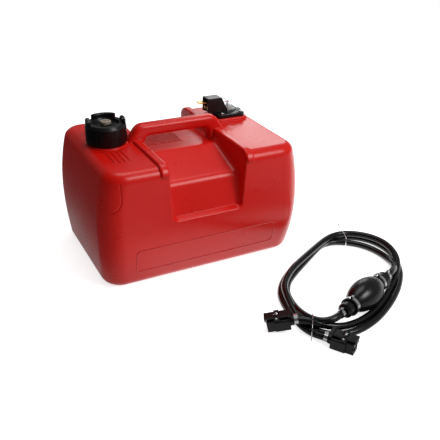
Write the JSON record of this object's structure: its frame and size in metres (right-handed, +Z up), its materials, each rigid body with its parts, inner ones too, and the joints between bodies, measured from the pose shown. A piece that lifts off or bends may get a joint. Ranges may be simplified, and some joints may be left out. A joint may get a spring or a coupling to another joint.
{
  "type": "portable outboard fuel tank",
  "caption": "Barrel-sided portable fuel tank with arched grip, vented screw cap, float fuel meter and a coiled primer-bulb hose set.",
  "frame": {"origin": "middle of the tank's footprint, on the surface it stands on; the free hose set is left out of this", "axes": "+X along the tank towards the meter, -Y towards the hose set, +Z up"},
  "size_m": [0.544, 0.5886, 0.2652],
  "materials": {
    "red_shell": "satin gloss moulded polyethylene, red right through",
    "black_plastic": "fine satin",
    "grey_plastic": "satin",
    "white_plastic": "satin",
    "orange_plastic": "gloss",
    "float_foam": "closed-cell foam",
    "black_rubber": "satin",
    "steel": "plated",
    "aluminium": "drawn tube",
    "brass": "machined",
    "clear_lens": "clear moulded lens"
  },
  "bodies": {
    "tank": {"tank_shell": "red_shell", "meter_housing": "black_plastic", "meter_gasket": "black_rubber", "meter_screws": "steel", "gauge_lens": "clear_lens", "gauge_dial": "white_plastic", "pivot_pin": "steel", "fuel_joint": "brass", "catch_plate": "steel", "pickup_tube": "aluminium", "pickup_strainer": "white_plastic", "primer_bulb": "black_rubber", "bulb_outlet": "black_plastic", "bulb_inlet": "black_plastic", "outlet_disc": "white_plastic", "inlet_disc": "white_plastic", "bulb_clamps": "steel", "hose_coil": "black_rubber", "hose_tail_inlet": "black_rubber", "hose_tail_outlet": "black_rubber", "hose_tail_tank": "black_rubber", "hose_tail_engine": "black_rubber", "tie_wires": "steel", "tank_connector_body": "black_plastic", "tank_connector_pin": "steel", "tank_connector_spring": "steel", "tank_connector_seal": "black_rubber", "tank_connector_clamp": "steel", "engine_connector_body": "black_plastic", "engine_connector_pin": "steel", "engine_connector_spring": "steel", "engine_connector_seal": "black_rubber", "engine_connector_clamp": "steel"},
    "cap_lift": {"cap_gasket": "black_rubber"},
    "cap": {"filler_cap": "black_plastic", "cap_baffle": "black_plastic"},
    "vent_lift": {"vent_seal": "black_rubber"},
    "vent": {"vent_screw": "grey_plastic"},
    "float": {"float_arm": "steel", "fuel_float": "float_foam", "gauge_pointer": "orange_plastic"},
    "tank_lever": {"tank_connector_lever": "black_plastic"},
    "engine_lever": {"engine_connector_lever": "black_plastic"}
  },
  "joints": [
    {"name": "cap_rise", "type": "slide", "parent": "tank", "child": "cap_lift", "axis": [0, 0, 1], "range_m": [0, 0.0281]},
    {"name": "cap_turn", "type": "hinge", "parent": "cap_lift", "child": "cap", "pos_m": [-0.131, 0.008, 0.245], "axis": [0, 0, 1], "range_deg": [0, 1260]},
    {"name": "vent_rise", "type": "slide", "parent": "cap", "child": "vent_lift", "axis": [0, 0, 1], "range_m": [0, 0.0015]},
    {"name": "vent_turn", "type": "hinge", "parent": "vent_lift", "child": "vent", "pos_m": [-0.131, 0.008, 0.256], "axis": [0, 0, 1], "range_deg": [0, 545]},
    {"name": "float_swing", "type": "hinge", "parent": "tank", "child": "float", "pos_m": [0.133, 0.062, 0.229], "axis": [0, 1, 0], "range_deg": [0, 58]},
    {"name": "tank_lever_press", "type": "hinge", "parent": "tank", "child": "tank_lever", "pos_m": [0.0198, -0.33764, 0.02898], "axis": [-0.4894, -0.8721, 0], "range_deg": [-8, 0], "stiffness_Nm_per_rad": 0.05, "springref_deg": 17.19},
    {"name": "engine_lever_press", "type": "hinge", "parent": "tank", "child": "engine_lever", "pos_m": [0.09055, -0.42484, 0.0255], "axis": [0.8387, 0.5446, 0], "range_deg": [-8, 0], "stiffness_Nm_per_rad": 0.05, "springref_deg": 17.19}
  ],
  "couplings": [
    {"joint": "cap_rise", "follows": "cap_turn", "m_per_rad": 0.0012732},
    {"joint": "vent_turn", "follows": "vent_rise", "rad_per_m": 6283.2}
  ]
}
